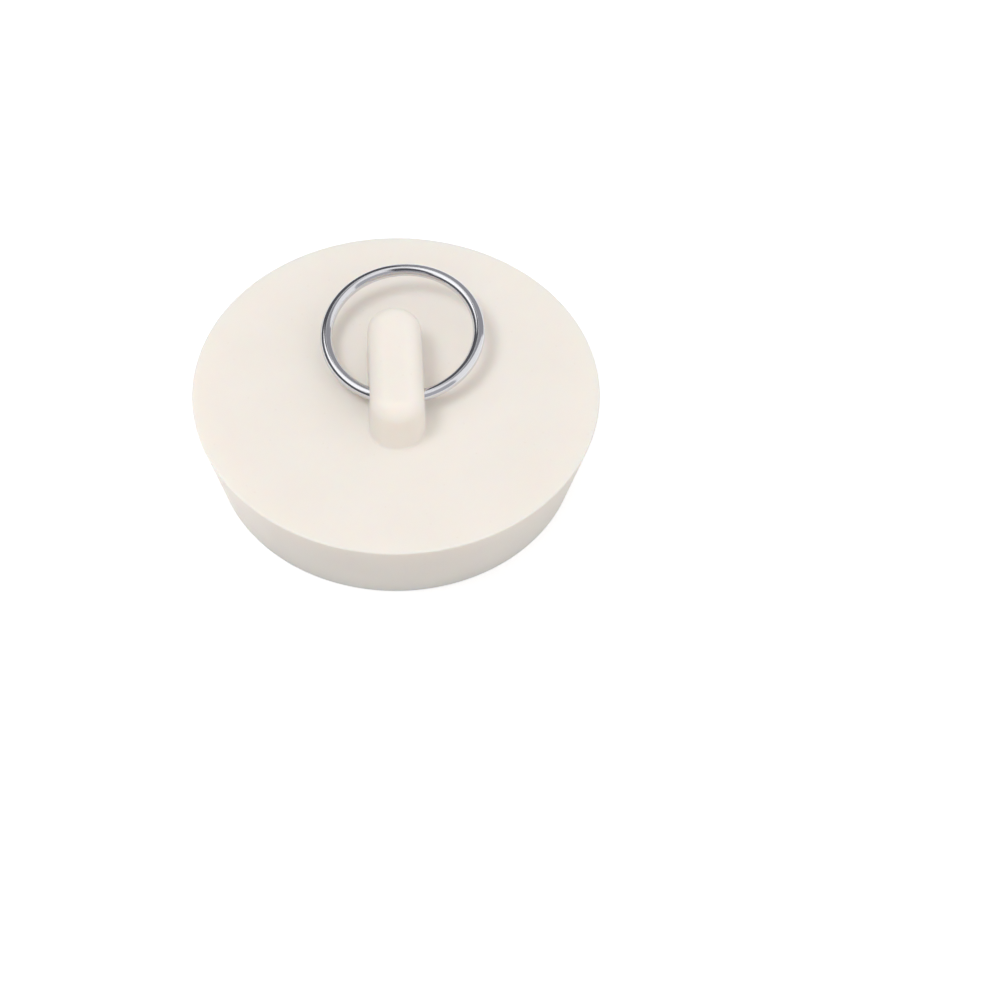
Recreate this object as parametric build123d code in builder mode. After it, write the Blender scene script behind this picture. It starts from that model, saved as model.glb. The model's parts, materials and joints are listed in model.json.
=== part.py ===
"""Rubber drain stopper with a steel pull ring, in millimetres.

The stopper is one rubber moulding: a tapered disc that wedges into the drain, and an oblong
lug on top with a hole across it. The ring is a loop of round wire threaded through the hole.
+Z is up, the origin is the centre of the base, and the lug runs along Y with its hole near -Y.
"""
import os
from math import asin, cos, degrees, hypot, radians, sin, sqrt, tan

from build123d import *

# Tapered disc
top_diameter = 50.0
base_diameter = 44.2
disc_height = 11.25
top_edge_break = 0.2
base_edge_break = 0.4

# Recess under the disc, which lets the wall give as it is pushed home
recess_diameter = 34.0
recess_depth = 5.0
recess_draft = 6.0
recess_corner_break = 1.5
recess_mouth_break = 0.3

# Lug, rounded at both ends in plan and crowned on top
lug_length = 18.0
lug_width = 6.7
lug_height = 6.7
lug_draft = 0.7
lug_crown_radius = 2.1
lug_root_radius = 0.3

# Hole across the lug: its centre above the disc, and its distance from the lug's middle
hole_rise = 2.2
hole_offset = 2.25
hole_clearance = 0.1
hole_lip_break = 0.15

# Ring of round wire, and how it lies at rest in its hole
ring_mean_diameter = 18.8
wire_diameter = 1.5
butt_gap = 0.1
ring_lift = 7.0
ring_lean = 3.5
ring_skew = 6.8
ring_bow_share = 0.85

top_radius = top_diameter / 2
base_radius = base_diameter / 2
recess_radius = recess_diameter / 2
recess_floor_radius = recess_radius - recess_depth * tan(radians(recess_draft))
ring_radius = ring_mean_diameter / 2
wire_radius = wire_diameter / 2

# The wire is curved, so inside the lug its middle bows past the hole's axis and its two
# ends fall short of it. The hole is as wide as the wire needs at its middle or at its mouths.
half_lug = lug_width / 2
arc_depth = ring_radius - sqrt(ring_radius**2 - half_lug**2)
wire_bow = ring_bow_share * arc_depth
mouth_shift = arc_depth - wire_bow + half_lug * tan(radians(ring_skew))
mouth_lift = half_lug * tan(radians(ring_lean))
wire_slant = asin(half_lug / ring_radius) + radians(ring_skew)
middle_reach = wire_bow + wire_radius
mouth_reach = hypot(mouth_shift, mouth_lift) + wire_radius / cos(wire_slant)
hole_radius = max(middle_reach, mouth_reach) + hole_clearance

hole_centre = Vector(0, -hole_offset, disc_height + hole_rise)
hole_plane = Plane(origin=hole_centre, z_dir=(1, 0, 0))


def make_stopper_body():
    """The moulding: disc, recess, lug and the hole across the lug."""
    with BuildPart() as body:
        with BuildSketch(Plane.XZ):
            with BuildLine():
                Polyline(
                    (0, recess_depth),
                    (recess_floor_radius, recess_depth),
                    (recess_radius, 0),
                    (base_radius, 0),
                    (top_radius, disc_height),
                    (0, disc_height),
                    close=True,
                )
            make_face()
        revolve(axis=Axis.Z)
        floor_edge, mouth_edge, base_edge, top_edge = (
            body.edges().filter_by(GeomType.CIRCLE).sort_by(SortBy.RADIUS)
        )
        chamfer(top_edge, length=top_edge_break)
        chamfer(base_edge, length=base_edge_break)
        chamfer(mouth_edge, length=recess_mouth_break)
        chamfer(floor_edge, length=recess_corner_break)

        with BuildSketch(Plane.XY.offset(disc_height)):
            SlotOverall(lug_length, lug_width, rotation=90)
        extrude(amount=lug_height, taper=lug_draft)
        lug_root = body.edges(Select.LAST).group_by(Axis.Z)[0]
        fillet(lug_root, radius=lug_root_radius)
        crown = body.faces().sort_by(Axis.Z)[-1]
        fillet(crown.edges(), radius=lug_crown_radius)

        with Locations(hole_plane):
            Hole(hole_radius)
        hole_lips = body.edges(Select.LAST).group_by(Axis.X)
        chamfer(hole_lips[0] + hole_lips[-1], length=hole_lip_break)
    return body


def make_pull_ring():
    """The wire ring, with its butted ends turned into the lug."""
    swing = Vector(0, cos(radians(ring_lift)), sin(radians(ring_lift)))
    reach = swing.rotate(Axis.Z, -ring_skew)
    across = Vector(cos(radians(ring_lean)), 0, sin(radians(ring_lean)))
    across = across.rotate(Axis.X, ring_lift).rotate(Axis.Z, -ring_skew)
    normal = across.cross(reach)
    ring_centre = hole_centre + reach * (ring_radius - wire_bow)
    ring_axis = Axis(ring_centre, normal)
    butt_turn = degrees(butt_gap / ring_radius)
    outward = (-reach).rotate(Axis((0, 0, 0), normal), butt_turn / 2)
    with BuildPart() as ring:
        with BuildSketch(Plane(origin=ring_centre, x_dir=outward, z_dir=outward.cross(normal))):
            with Locations((ring_radius, 0)):
                Circle(wire_radius)
        revolve(axis=ring_axis, revolution_arc=360 - butt_turn)
    return ring


stopper_body = make_stopper_body()
stopper_body.part.label = "stopper_body"
pull_ring = make_pull_ring()
pull_ring.part.label = "pull_ring"

os.makedirs("parts", exist_ok=True)
export_step(stopper_body.part, "parts/stopper_body.step")
export_step(pull_ring.part, "parts/pull_ring.step")
print("hole radius", round(hole_radius, 3))
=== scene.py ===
"""White rubber drain stopper with its steel pull ring, dressed for the photograph.

Everything is in metres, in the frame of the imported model: +Z up, the origin at the centre of
the stopper's underside, and the lug along Y with the ring's hole near its -Y end.
"""

import json
from math import asin, cos, hypot, pi, radians, sin, sqrt, tan

import bpy
from mathutils import Matrix, Vector


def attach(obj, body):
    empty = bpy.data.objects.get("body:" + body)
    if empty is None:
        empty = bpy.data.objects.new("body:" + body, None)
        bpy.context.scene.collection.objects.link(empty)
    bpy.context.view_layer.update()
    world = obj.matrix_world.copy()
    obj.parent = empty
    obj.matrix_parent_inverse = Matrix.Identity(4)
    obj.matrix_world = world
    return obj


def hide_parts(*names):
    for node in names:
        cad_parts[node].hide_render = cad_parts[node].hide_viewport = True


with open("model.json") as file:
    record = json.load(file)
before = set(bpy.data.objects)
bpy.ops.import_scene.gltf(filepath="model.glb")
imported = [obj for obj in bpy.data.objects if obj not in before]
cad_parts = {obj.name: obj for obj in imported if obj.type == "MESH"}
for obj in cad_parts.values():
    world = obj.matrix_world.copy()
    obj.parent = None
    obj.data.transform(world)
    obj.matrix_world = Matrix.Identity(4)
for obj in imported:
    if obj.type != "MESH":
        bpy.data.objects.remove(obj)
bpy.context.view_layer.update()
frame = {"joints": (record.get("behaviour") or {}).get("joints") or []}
mm = 0.001

# Stopper body
# One moulding of white natural rubber: a tapered disc, hollow underneath, with the lug that
# carries the ring on top. The tree below draws half of its section, from the middle of the
# lug's crown over the disc to the middle of the recess, and carries it round.

top_radius = 25.0 * mm
base_radius = 22.1 * mm
disc_height = 11.25 * mm
top_edge_roundness = 0.2 * mm
base_edge_roundness = 0.35 * mm
recess_radius = 17.0 * mm
recess_depth = 5.0 * mm
recess_draft = radians(6.0)
recess_corner_roundness = 1.5 * mm
recess_mouth_roundness = 0.3 * mm
lug_length = 18.0 * mm
lug_width = 6.7 * mm
lug_height = 6.7 * mm
lug_draft = radians(0.7)
lug_crown_roundness = 2.1 * mm
lug_root_roundness = 0.3 * mm
steps_round_an_end = 96
steps_in_a_corner = 20
weld_distance = 0.001 * mm
crisp_edge_angle = radians(35.0)

# The ring and the way it lies at rest, which settle how wide its hole is: inside the lug the
# curved wire's middle bows past the hole's axis, and its two ends fall short of it.
ring_radius = 9.4 * mm
wire_radius = 0.75 * mm
ring_lift = radians(7.0)
ring_lean = radians(3.5)
ring_skew = radians(6.8)
ring_bow_share = 0.85
hole_clearance = 0.1 * mm
hole_lip = 0.15 * mm
hole_overrun = 0.5 * mm

half_lug = lug_width / 2
arc_depth = ring_radius - sqrt(ring_radius**2 - half_lug**2)
wire_bow = ring_bow_share * arc_depth
mouth_shift = arc_depth - wire_bow + half_lug * tan(ring_skew)
mouth_reach = hypot(mouth_shift, half_lug * tan(ring_lean))
mouth_reach += wire_radius / cos(asin(half_lug / ring_radius) + ring_skew)
hole_radius = max(wire_bow + wire_radius, mouth_reach) + hole_clearance
hole_centre = Vector(frame["joints"][0]["pos_m"])


def linear(hex_colour):
    """A colour written as sRGB hex, as the linear RGBA that Blender's sockets take."""
    parts = [int(hex_colour[i : i + 2], 16) / 255 for i in (1, 3, 5)]
    return [p / 12.92 if p <= 0.04045 else ((p + 0.055) / 1.055) ** 2.4 for p in parts] + [1.0]


def add_node(tree, kind, inputs=None, **settings):
    """Adds a node. Each input is a value, an output, or a node that gives its first output."""
    node = tree.nodes.new(kind)
    for name, setting in settings.items():
        setattr(node, name, setting)
    for socket, source in (inputs or {}).items():
        if isinstance(source, bpy.types.Node):
            source = source.outputs[0]
        if isinstance(source, bpy.types.NodeSocket):
            tree.links.new(source, node.inputs[socket])
        else:
            node.inputs[socket].default_value = source
    return node


def start_tree(name, sizes):
    """A geometry tree with a named input for each size, and the sockets that give them."""
    tree = bpy.data.node_groups.new(name, "GeometryNodeTree")
    tree.interface.new_socket("Mesh", in_out="OUTPUT", socket_type="NodeSocketGeometry")
    for size in sizes:
        tree.interface.new_socket(size, in_out="INPUT", socket_type="NodeSocketFloat")
    return tree, add_node(tree, "NodeGroupInput").outputs


def finish_tree(tree, mesh, material):
    """Shades the mesh smooth but for crisp edges, gives it its material and ends the tree."""
    angle = add_node(tree, "GeometryNodeInputMeshEdgeAngle")
    soft = add_node(tree, "ShaderNodeMath", {0: angle, 1: crisp_edge_angle}, operation="LESS_THAN")
    mesh = add_node(
        tree, "GeometryNodeSetShadeSmooth", {"Geometry": mesh, "Shade Smooth": soft}, domain="EDGE"
    )
    mesh = add_node(tree, "GeometryNodeRealizeInstances", {"Geometry": mesh})
    mesh = add_node(tree, "GeometryNodeSetMaterial", {"Geometry": mesh, "Material": material})
    add_node(tree, "NodeGroupOutput", {0: mesh})


def add_object(name, data):
    """Puts a new object in the scene, with a mesh, a lamp or a camera as its data."""
    placed = bpy.data.objects.new(name, data)
    bpy.context.scene.collection.objects.link(placed)
    return placed


def make_piece(name, tree, sizes):
    """Runs a tree at these sizes and keeps its result as a plain mesh with even normals."""
    piece = add_object(name, bpy.data.meshes.new(name))
    modifier = piece.modifiers.new("shape", "NODES")
    modifier.node_group = tree
    for socket in tree.interface.items_tree:
        if socket.in_out == "INPUT":
            modifier[socket.identifier] = sizes[socket.name]
    piece.modifiers.new("even_normals", "WEIGHTED_NORMAL").keep_sharp = True
    evaluated = piece.evaluated_get(bpy.context.evaluated_depsgraph_get())
    piece.data = bpy.data.meshes.new_from_object(evaluated)
    piece.modifiers.clear()
    return piece


def rounded_line(tree, corners):
    """A line through corners, each with an X, Y and Z and how far it is rounded."""
    points = add_node(tree, "GeometryNodeMeshLine", {"Count": len(corners)})
    line = add_node(tree, "GeometryNodeMeshToCurve", {"Mesh": points})
    index = add_node(tree, "GeometryNodeInputIndex")
    places = add_node(tree, "GeometryNodeIndexSwitch", {"Index": index}, data_type="VECTOR")
    rounds = add_node(tree, "GeometryNodeIndexSwitch", {"Index": index}, data_type="FLOAT")
    for switch in (places, rounds):
        while len(switch.index_switch_items) < len(corners):
            switch.index_switch_items.new()
    for number, (x, y, z, rounding) in enumerate(corners):
        place = add_node(tree, "ShaderNodeCombineXYZ", {"X": x, "Y": y, "Z": z})
        tree.links.new(place.outputs[0], places.inputs[number + 1])
        if rounding:
            tree.links.new(rounding, rounds.inputs[number + 1])
    line = add_node(tree, "GeometryNodeSetPosition", {"Geometry": line, "Position": places})
    return add_node(
        tree,
        "GeometryNodeFilletCurve",
        {"Curve": line, "Radius": rounds, "Count": steps_in_a_corner},
        mode="POLY",
    )


def carry_round(tree, section):
    """Carries a section round two ends and the straight sides between them. A point's X is how
    far it is from the middle, its Y the height, and its Z half the length of its straight."""
    rows = add_node(
        tree, "GeometryNodeAttributeDomainSize", {"Geometry": section}, component="CURVE"
    ).outputs["Point Count"]

    # Each end has one more column than it has steps, and a last column closes the sheet.
    end_columns = steps_round_an_end + 1
    sheet = add_node(
        tree, "GeometryNodeMeshGrid", {"Vertices X": 2 * end_columns + 1, "Vertices Y": rows}
    )
    index = add_node(tree, "GeometryNodeInputIndex")
    row = add_node(tree, "ShaderNodeMath", {0: index, 1: rows}, operation="MODULO")
    column = add_node(tree, "ShaderNodeMath", {0: index, 1: rows}, operation="DIVIDE")
    column = add_node(tree, "ShaderNodeMath", {0: column}, operation="FLOOR")
    end = add_node(tree, "ShaderNodeMath", {0: column, 1: end_columns}, operation="DIVIDE")
    end = add_node(tree, "ShaderNodeMath", {0: end}, operation="FLOOR")
    step = add_node(tree, "ShaderNodeMath", {0: column, 1: end}, operation="SUBTRACT")
    angle = add_node(
        tree, "ShaderNodeMath", {0: step, 1: pi / steps_round_an_end}, operation="MULTIPLY"
    )
    turned = add_node(tree, "ShaderNodeMath", {0: end, 1: pi}, operation="MULTIPLY")
    side = add_node(tree, "ShaderNodeMath", {0: turned}, operation="COSINE")
    corner = add_node(
        tree,
        "GeometryNodeSampleIndex",
        {"Geometry": section, "Value": add_node(tree, "GeometryNodeInputPosition"), "Index": row},
        data_type="FLOAT_VECTOR",
    )
    reach, height, straight = add_node(tree, "ShaderNodeSeparateXYZ", {0: corner}).outputs
    across = add_node(tree, "ShaderNodeMath", {0: angle}, operation="COSINE")
    across = add_node(tree, "ShaderNodeMath", {0: across, 1: reach}, operation="MULTIPLY")
    straight = add_node(tree, "ShaderNodeMath", {0: straight, 1: side}, operation="MULTIPLY")
    along = add_node(tree, "ShaderNodeMath", {0: angle}, operation="SINE")
    along = add_node(
        tree, "ShaderNodeMath", {0: along, 1: reach, 2: straight}, operation="MULTIPLY_ADD"
    )
    place = add_node(tree, "ShaderNodeCombineXYZ", {"X": across, "Y": along, "Z": height})
    shell = add_node(tree, "GeometryNodeSetPosition", {"Geometry": sheet, "Position": place})
    return add_node(
        tree, "GeometryNodeMergeByDistance", {"Geometry": shell, "Distance": weld_distance}
    )


def start_look(owner):
    """Empties the nodes of a material or a world, and gives the tree for new ones."""
    owner.use_nodes = True
    owner.node_tree.nodes.clear()
    return owner.node_tree


# Natural rubber, moulded: matt, with light scattered under its skin, the satin of a blasted
# mould, a faint warm mottle where the mix varies, and a few specks of filler. The real satin
# has a finer grain, and is drawn this coarse so that it shows.
pale_rubber = "#F1EBE4"
warm_rubber = "#ECE5DC"
speck_colour = "#D9C9B2"
mottle_width = 9.0 * mm
satin_grain = 0.22 * mm
satin_depth = 0.004 * mm
satin_strength = 0.6
speck_spacing = 1.6 * mm
speck_width = 0.16 * mm
speck_strength = 0.14
smoothest_rubber = 0.5
roughest_rubber = 0.62
light_depth = 3.0 * mm
rubber = bpy.data.materials.new("moulded_white_rubber")
look = start_look(rubber)
place = add_node(look, "ShaderNodeTexCoord").outputs["Object"]
mottle = add_node(
    look, "ShaderNodeTexNoise", {"Vector": place, "Scale": 1 / mottle_width, "Detail": 4.0}
)
colour = add_node(
    look,
    "ShaderNodeMix",
    {"Factor": mottle, "A": linear(pale_rubber), "B": linear(warm_rubber)},
    data_type="RGBA",
).outputs["Result"]
speck = add_node(look, "ShaderNodeTexVoronoi", {"Vector": place, "Scale": 1 / speck_spacing})
speck = add_node(
    look,
    "ShaderNodeMapRange",
    {
        "Value": speck.outputs["Distance"],
        "From Min": speck_width / speck_spacing / 2,
        "From Max": speck_width / speck_spacing,
        "To Min": speck_strength,
        "To Max": 0.0,
    },
)
colour = add_node(
    look,
    "ShaderNodeMix",
    {"Factor": speck, "A": colour, "B": linear(speck_colour)},
    data_type="RGBA",
).outputs["Result"]
satin = add_node(
    look, "ShaderNodeTexNoise", {"Vector": place, "Scale": 1 / satin_grain, "Detail": 2.0}
)
bump = add_node(
    look,
    "ShaderNodeBump",
    {"Height": satin, "Strength": satin_strength, "Distance": satin_depth},
)
roughness = add_node(
    look,
    "ShaderNodeMapRange",
    {"Value": mottle, "To Min": smoothest_rubber, "To Max": roughest_rubber},
)
shader = add_node(
    look,
    "ShaderNodeBsdfPrincipled",
    {
        "Base Color": colour,
        "Roughness": roughness,
        "Normal": bump,
        "IOR": 1.5,
        "Subsurface Weight": 0.5,
        "Subsurface Radius": (1.0, 0.6, 0.35),
        "Subsurface Scale": light_depth,
    },
)
add_node(look, "ShaderNodeOutputMaterial", {"Surface": shader})

moulding_sizes = {
    "Lug straight": lug_length / 2 - half_lug,
    "Lug top reach": half_lug - lug_height * tan(lug_draft),
    "Lug reach": half_lug,
    "Lug foot reach": half_lug + 2 * lug_root_roundness,
    "Lug top": disc_height + lug_height,
    "Crown rounding": lug_crown_roundness,
    "Root rounding": lug_root_roundness,
    "Disc top": disc_height,
    "Top radius": top_radius,
    "Top inner radius": top_radius - 2 * top_edge_roundness,
    "Top rounding": top_edge_roundness,
    "Base radius": base_radius,
    "Base rounding": base_edge_roundness,
    "Recess radius": recess_radius,
    "Mouth rounding": recess_mouth_roundness,
    "Recess floor radius": recess_radius - recess_depth * tan(recess_draft),
    "Recess depth": recess_depth,
    "Floor rounding": recess_corner_roundness,
    "Hole radius": hole_radius,
    "Hole lip radius": hole_radius + hole_lip,
    "Lip start": half_lug - hole_lip,
    "Lip end": half_lug,
    "Bore end": half_lug + hole_overrun,
    "Lip rounding": 2 * hole_lip,
}
tree, size = start_tree("moulding", moulding_sizes)

# The disc's face turns from the lug's oblong to a circle between two points of the section,
# which stand clear of the roundings at the lug's root and the rim.
section = rounded_line(
    tree,
    [
        (0, size["Lug top"], size["Lug straight"], None),
        (size["Lug top reach"], size["Lug top"], size["Lug straight"], size["Crown rounding"]),
        (size["Lug reach"], size["Disc top"], size["Lug straight"], size["Root rounding"]),
        (size["Lug foot reach"], size["Disc top"], size["Lug straight"], None),
        (size["Top inner radius"], size["Disc top"], 0, None),
        (size["Top radius"], size["Disc top"], 0, size["Top rounding"]),
        (size["Base radius"], 0, 0, size["Base rounding"]),
        (size["Recess radius"], 0, 0, size["Mouth rounding"]),
        (size["Recess floor radius"], size["Recess depth"], 0, size["Floor rounding"]),
        (0, size["Recess depth"], 0, None),
    ],
)
solid = carry_round(tree, section)

# The hole across the lug is cut by a spindle laid along X, which flares at the lug's walls.
far_bore = add_node(tree, "ShaderNodeMath", {0: 0, 1: size["Bore end"]}, operation="SUBTRACT")
far_lip = add_node(tree, "ShaderNodeMath", {0: 0, 1: size["Lip end"]}, operation="SUBTRACT")
far_start = add_node(tree, "ShaderNodeMath", {0: 0, 1: size["Lip start"]}, operation="SUBTRACT")
spindle = rounded_line(
    tree,
    [
        (0, far_bore, 0, None),
        (size["Hole lip radius"], far_bore, 0, None),
        (size["Hole lip radius"], far_lip, 0, None),
        (size["Hole radius"], far_start, 0, size["Lip rounding"]),
        (size["Hole radius"], size["Lip start"], 0, size["Lip rounding"]),
        (size["Hole lip radius"], size["Lip end"], 0, None),
        (size["Hole lip radius"], size["Bore end"], 0, None),
        (0, size["Bore end"], 0, None),
    ],
)
spindle = add_node(
    tree,
    "GeometryNodeTransform",
    {
        "Geometry": carry_round(tree, spindle),
        "Translation": hole_centre,
        "Rotation": (0, pi / 2, 0),
    },
)
bored = add_node(
    tree,
    "GeometryNodeMeshBoolean",
    {"Mesh 1": solid, "Mesh 2": spindle},
    operation="DIFFERENCE",
    solver="EXACT",
)
finish_tree(tree, bored, rubber)
stopper = make_piece("stopper_moulding", tree, moulding_sizes)
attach(stopper, "stopper")
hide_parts("stopper_body")

# Pull ring
# A ring of drawn and polished steel wire, bent round, threaded through the lug and closed
# with its two ends butted inside the hole.

butt_gap = 0.1 * mm
steps_along_the_ring = 256
steps_round_the_wire = 48

# Polished steel: bright and hard, with faint lines along the wire from the drawing die. The
# real lines are finer, and are drawn this wide so that they show.
steel_colour = "#DCDCE0"
drawn_line_width = 0.05 * mm
drawn_line_length = 4.0 * mm
drawn_line_depth = 0.0006 * mm
drawn_line_strength = 0.5
smoothest_steel = 0.07
roughest_steel = 0.15
steel = bpy.data.materials.new("polished_steel_wire")
look = start_look(steel)
place = add_node(look, "ShaderNodeAttribute", attribute_name="straight_wire").outputs["Vector"]
along_the_wire = (1 / drawn_line_width, 1 / drawn_line_width, 1 / drawn_line_length)
place = add_node(look, "ShaderNodeMapping", {"Vector": place, "Scale": along_the_wire})
drawn = add_node(look, "ShaderNodeTexNoise", {"Vector": place, "Scale": 1.0, "Detail": 2.0})
bump = add_node(
    look,
    "ShaderNodeBump",
    {"Height": drawn, "Strength": drawn_line_strength, "Distance": drawn_line_depth},
)
polish = add_node(
    look,
    "ShaderNodeMapRange",
    {"Value": drawn, "To Min": smoothest_steel, "To Max": roughest_steel},
)
shader = add_node(
    look,
    "ShaderNodeBsdfPrincipled",
    {"Base Color": linear(steel_colour), "Metallic": 1.0, "Roughness": polish, "Normal": bump},
)
add_node(look, "ShaderNodeOutputMaterial", {"Surface": shader})

ring_sizes = {
    "Ring radius": ring_radius,
    "Wire radius": wire_radius,
    "Butt angle": butt_gap / ring_radius,
    "Bow": wire_bow,
    "Lean": -ring_lean,
    "Lift": ring_lift,
    "Skew": -ring_skew,
}
tree, size = start_tree("wire_ring", ring_sizes)

# The wire's two ends face each other at the ring's -Y side, half of the gap to each side.
start = add_node(
    tree, "ShaderNodeMath", {0: size["Butt angle"], 1: 0.5, 2: -pi / 2}, operation="MULTIPLY_ADD"
)
sweep = add_node(tree, "ShaderNodeMath", {0: 2 * pi, 1: size["Butt angle"]}, operation="SUBTRACT")
path = add_node(
    tree,
    "GeometryNodeCurveArc",
    {
        "Resolution": steps_along_the_ring + 1,
        "Radius": size["Ring radius"],
        "Start Angle": start,
        "Sweep Angle": sweep,
    },
    mode="RADIUS",
)
wire = add_node(
    tree,
    "GeometryNodeCurvePrimitiveCircle",
    {"Resolution": steps_round_the_wire, "Radius": size["Wire radius"]},
    mode="RADIUS",
)

# The drawn lines need the wire as it was before it was bent: across it, then along it.
kept_run = add_node(tree, "GeometryNodeCaptureAttribute", {"Geometry": path})
kept_run.capture_items.new("FLOAT", "run")
run = add_node(tree, "GeometryNodeSplineParameter").outputs["Length"]
tree.links.new(run, kept_run.inputs["run"])
kept_side = add_node(tree, "GeometryNodeCaptureAttribute", {"Geometry": wire})
kept_side.capture_items.new("VECTOR", "side")
side = add_node(tree, "GeometryNodeInputPosition").outputs["Position"]
tree.links.new(side, kept_side.inputs["side"])
ring = add_node(
    tree,
    "GeometryNodeCurveToMesh",
    {"Curve": kept_run, "Profile Curve": kept_side, "Fill Caps": True},
)
side = add_node(tree, "ShaderNodeSeparateXYZ", {0: kept_side.outputs["side"]}).outputs
straight = add_node(
    tree, "ShaderNodeCombineXYZ", {"X": side["X"], "Y": side["Y"], "Z": kept_run.outputs["run"]}
)
ring = add_node(
    tree,
    "GeometryNodeStoreNamedAttribute",
    {"Geometry": ring, "Name": "straight_wire", "Value": straight},
    data_type="FLOAT_VECTOR",
    domain="POINT",
)

# The ring is laid with its near side in the hole, then leaned, lifted and skewed about it.
reach = add_node(
    tree, "ShaderNodeMath", {0: size["Ring radius"], 1: size["Bow"]}, operation="SUBTRACT"
)
reach = add_node(tree, "ShaderNodeCombineXYZ", {"Y": reach})
ring = add_node(tree, "GeometryNodeTransform", {"Geometry": ring, "Translation": reach})
for angle, axis in (("Lean", "Y"), ("Lift", "X"), ("Skew", "Z")):
    turn = add_node(tree, "ShaderNodeCombineXYZ", {axis: size[angle]})
    turn = add_node(tree, "FunctionNodeEulerToRotation", {0: turn})
    ring = add_node(tree, "GeometryNodeTransform", {"Geometry": ring, "Rotation": turn})
ring = add_node(tree, "GeometryNodeTransform", {"Geometry": ring, "Translation": hole_centre})
finish_tree(tree, ring, steel)
ring = make_piece("wire_ring", tree, ring_sizes)
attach(ring, "ring")
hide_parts("pull_ring")

# Table, room and lights
# A plain white table in a white room that is brightest at the upper right, with one soft lamp
# from the upper left and a glow in the table left of the stopper. Cards stand round it for
# the steel to reflect, seen by nothing else.

table_width = 3.0
table = add_object("table", bpy.data.meshes.new("table"))
half = table_width / 2
table.data.from_pydata(
    [(-half, -half, 0), (half, -half, 0), (half, half, 0), (-half, half, 0)], [], [(0, 1, 2, 3)]
)


def seen_rays(tree):
    """Gives 1 for a ray that shows a surface, directly, mirrored or through glass, and 0 for
    one that only gathers its light."""
    ray = add_node(tree, "ShaderNodeLightPath").outputs
    shown = add_node(
        tree,
        "ShaderNodeMath",
        {0: ray["Is Camera Ray"], 1: ray["Is Glossy Ray"]},
        operation="MAXIMUM",
    )
    return add_node(
        tree, "ShaderNodeMath", {0: shown, 1: ray["Is Transmission Ray"]}, operation="MAXIMUM"
    )


# The table is lifted to white where it is seen. The glow isn't seen, and lights the left of
# the stopper's side wall.
table_grey = "#C8C8C8"
white_lift = 0.6
glow_level = 1.2
glow_middle = Vector((-60, -10, 0)) * mm
glow_core_radius = 10.0 * mm
glow_radius = 45.0 * mm
table_top = bpy.data.materials.new("white_table")
look = start_look(table_top)
place = add_node(look, "ShaderNodeTexCoord").outputs["Object"]
away = add_node(look, "ShaderNodeVectorMath", {0: place, 1: glow_middle}, operation="DISTANCE")
glow = add_node(
    look,
    "ShaderNodeMapRange",
    {
        "Value": away.outputs["Value"],
        "From Min": glow_core_radius,
        "From Max": glow_radius,
        "To Min": glow_level,
        "To Max": 0.0,
    },
)
lift = add_node(
    look, "ShaderNodeMapRange", {"Value": seen_rays(look), "To Min": glow, "To Max": white_lift}
)
shader = add_node(
    look,
    "ShaderNodeBsdfPrincipled",
    {
        "Base Color": linear(table_grey),
        "Roughness": 0.9,
        "Specular IOR Level": 0.2,
        "Emission Color": linear("#FFFFFF"),
        "Emission Strength": lift,
    },
)
add_node(look, "ShaderNodeOutputMaterial", {"Surface": shader})
table.data.materials.append(table_top)

# The room is plain white where it is seen, and lights the stopper more from one side.
bright_side = Vector((0.79, -0.39, 0.47))
dark_level = 0.4
bright_level = 1.0
seen_level = 1.0
room = bpy.data.worlds.new("white_room")
bpy.context.scene.world = room
look = start_look(room)
direction = add_node(look, "ShaderNodeTexCoord").outputs["Generated"]
facing = add_node(
    look, "ShaderNodeVectorMath", {0: direction, 1: bright_side}, operation="DOT_PRODUCT"
).outputs["Value"]
light = add_node(
    look,
    "ShaderNodeMapRange",
    {"Value": facing, "From Min": -1.0, "To Min": dark_level, "To Max": bright_level},
)
level = add_node(
    look, "ShaderNodeMapRange", {"Value": seen_rays(look), "To Min": light, "To Max": seen_level}
)
backdrop = add_node(look, "ShaderNodeBackground", {"Color": linear("#FFFFFF"), "Strength": level})
add_node(look, "ShaderNodeOutputWorld", {"Surface": backdrop})

lamp_direction = Vector((-0.36, -0.17, 0.92)).normalized()
lamp_distance = 0.6
lamp_width = 0.18
lamp_power = 1.0
lamp = add_object("upper_left_softbox", bpy.data.lights.new("upper_left_softbox", "AREA"))
lamp.data.shape = "SQUARE"
lamp.data.size = lamp_width
lamp.data.energy = lamp_power
lamp.visible_glossy = False
lamp.location = lamp_direction * lamp_distance
lamp.rotation_euler = lamp_direction.to_track_quat("Z", "Y").to_euler()

card_distance = 1.0
card_steps = 16


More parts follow.
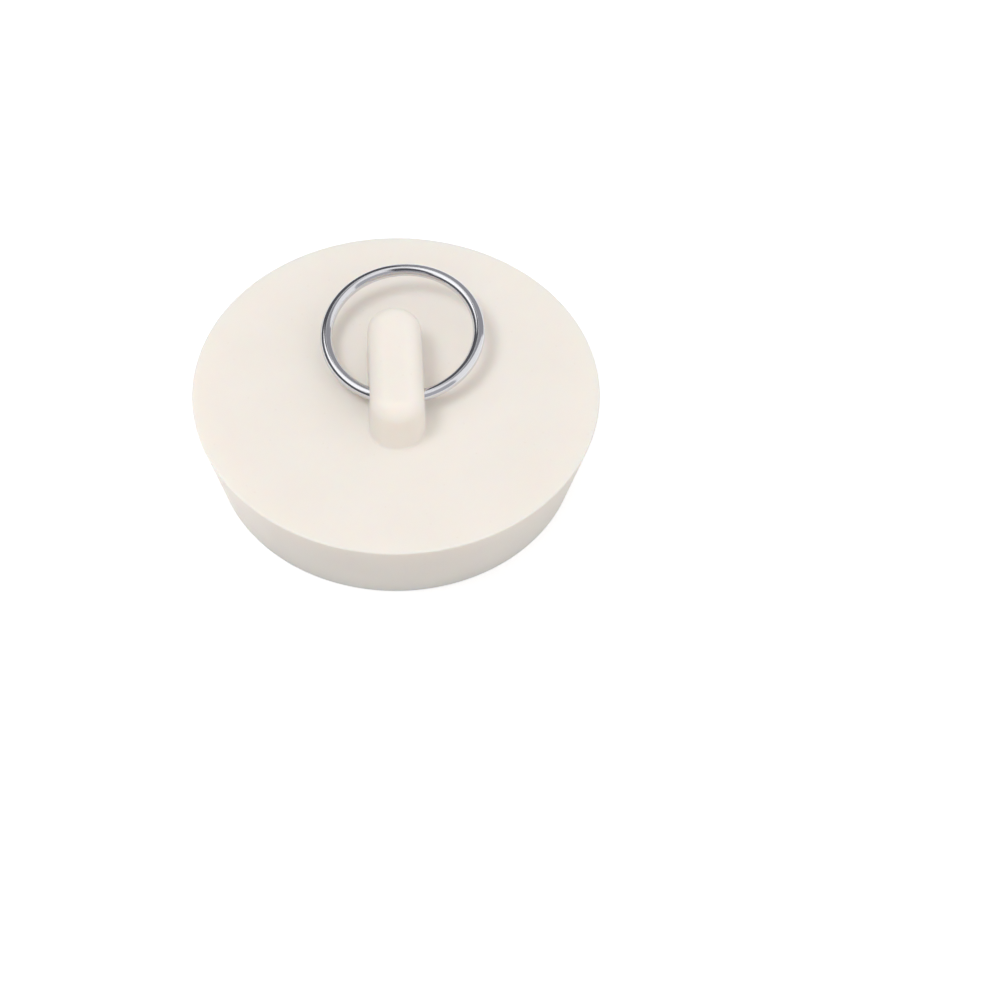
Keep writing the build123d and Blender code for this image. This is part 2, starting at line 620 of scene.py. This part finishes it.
def add_card(name, grey, bearings, heights, strength=1.0):
    """A curved card seen only in reflections, over a range of bearings and heights in degrees."""
    corners = []
    for up in range(card_steps + 1):
        for across in range(card_steps + 1):
            bearing = radians(bearings[0] + (bearings[1] - bearings[0]) * across / card_steps)
            height = radians(heights[0] + (heights[1] - heights[0]) * up / card_steps)
            flat = card_distance * cos(height)
            corners.append((flat * sin(bearing), flat * cos(bearing), card_distance * sin(height)))
    row_length = card_steps + 1
    faces = [
        (corner, corner + 1, corner + row_length + 1, corner + row_length)
        for row_start in range(0, card_steps * row_length, row_length)
        for corner in range(row_start, row_start + card_steps)
    ]
    card = add_object(name, bpy.data.meshes.new(name))
    card.data.from_pydata(corners, [], faces)
    card.visible_camera = False
    card.visible_diffuse = False
    card.visible_transmission = False
    card.visible_shadow = False
    paint = bpy.data.materials.new(name)
    look = start_look(paint)
    shader = add_node(look, "ShaderNodeEmission", {"Color": linear(grey), "Strength": strength})
    add_node(look, "ShaderNodeOutputMaterial", {"Surface": shader})
    card.data.materials.append(paint)


add_card("left_softbox_card", "#FFFFFF", (-116, -46), (38, 78), strength=1.35)
add_card("low_left_card", "#606064", (-140, -46), (0, 38))
add_card("back_left_card", "#5C5C60", (-46, -6), (0, 62))
add_card("back_card", "#A2A2A6", (-6, 66), (0, 80))
add_card("front_right_card", "#B8B8BC", (124, 180), (0, 60))
add_card("high_front_card", "#58585C", (-180, -128), (38, 82))
add_card("low_front_card", "#A8A8AC", (-180, -140), (0, 38))

# Camera
# The photograph looks down on the stopper from a little over half a metre with a long lens,
# and the stopper lies up and left of the picture's middle.

camera_distance = 650.0 * mm
camera_elevation = radians(50.8)
camera_turn = radians(1.7)
camera_roll = radians(-0.4)
sensor_width = 36.0

# The photograph in pixels: its width, the scale at the disc's face, and that face's middle.
photo_width = 1000
pixels_per_mm = 8.171
stopper_across = 395.6
stopper_down = 391.4

focal_pixels = pixels_per_mm * camera_distance / mm
camera = add_object("camera", bpy.data.cameras.new("camera"))
camera.data.sensor_width = sensor_width
camera.data.lens = focal_pixels / photo_width * sensor_width
photo_middle = (photo_width - 1) / 2
yaw = asin((stopper_across - photo_middle) / focal_pixels)
pitch = asin((stopper_down - photo_middle) / focal_pixels)
facing = Matrix.Rotation(-camera_turn, 4, "Z") @ Matrix.Rotation(pi / 2 - camera_elevation, 4, "X")
stand = Matrix.Translation(Vector((0, 0, disc_height)))
back_off = Matrix.Translation(Vector((0, 0, camera_distance)))
roll = Matrix.Rotation(camera_roll, 4, "Z")
off_middle = Matrix.Rotation(yaw, 4, "Y") @ Matrix.Rotation(pitch, 4, "X")
camera.matrix_world = stand @ facing @ roll @ back_off @ off_middle
bpy.context.scene.camera = camera
bpy.context.scene.view_settings.view_transform = "Standard"
